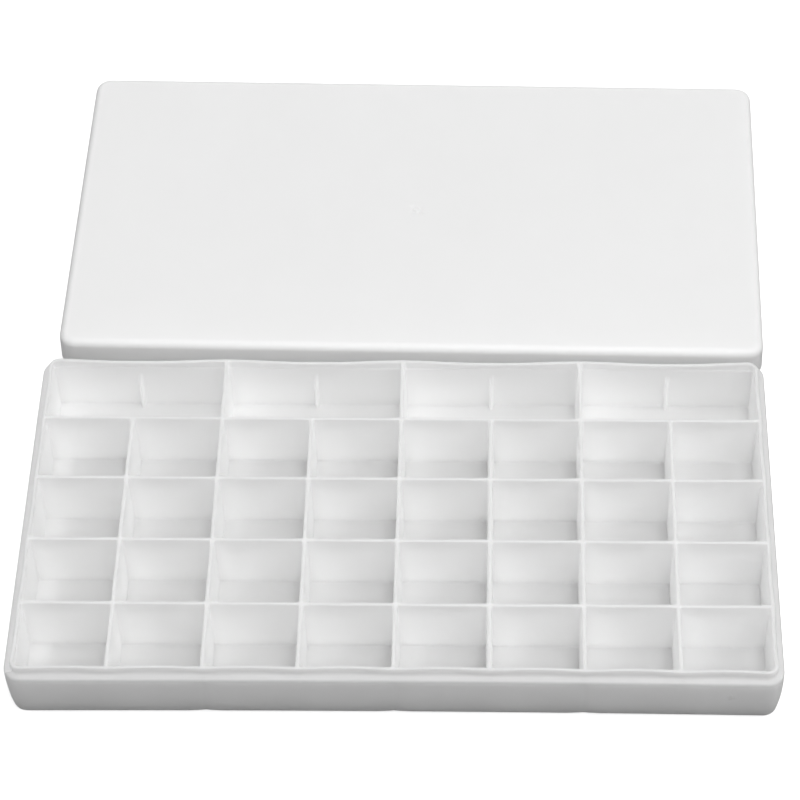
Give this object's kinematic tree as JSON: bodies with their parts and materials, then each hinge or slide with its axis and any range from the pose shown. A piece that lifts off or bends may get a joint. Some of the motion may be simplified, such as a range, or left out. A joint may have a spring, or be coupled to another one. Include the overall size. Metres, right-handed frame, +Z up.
{
  "type": "wet palette",
  "caption": "Lidded paint palette of white moulded plastic: a shallow tray of wells in a stepped rim, with a flat lift-off lid that keeps the paint from drying.",
  "frame": {"origin": "middle of the tray's underside, on the surface that it stands on", "axes": "+Z up, +X to the user's right along the tray's long side, +Y away from the user, from the front row of wells towards the lid"},
  "size_m": [0.2587, 0.2904, 0.0236],
  "materials": {
    "tray_plastic": "satin moulded white plastic, slightly translucent, taken to be polypropylene",
    "lid_plastic": "satin moulded white plastic, slightly translucent, taken to be polypropylene"
  },
  "bodies": {
    "tray": {"tray": "tray_plastic"},
    "lid": {"lid": "lid_plastic"}
  },
  "joints": [
    {"name": "lid_lift", "type": "slide", "parent": "tray", "child": "lid", "axis": [0, 0, 1], "range_m": [0, 0.06]}
  ]
}
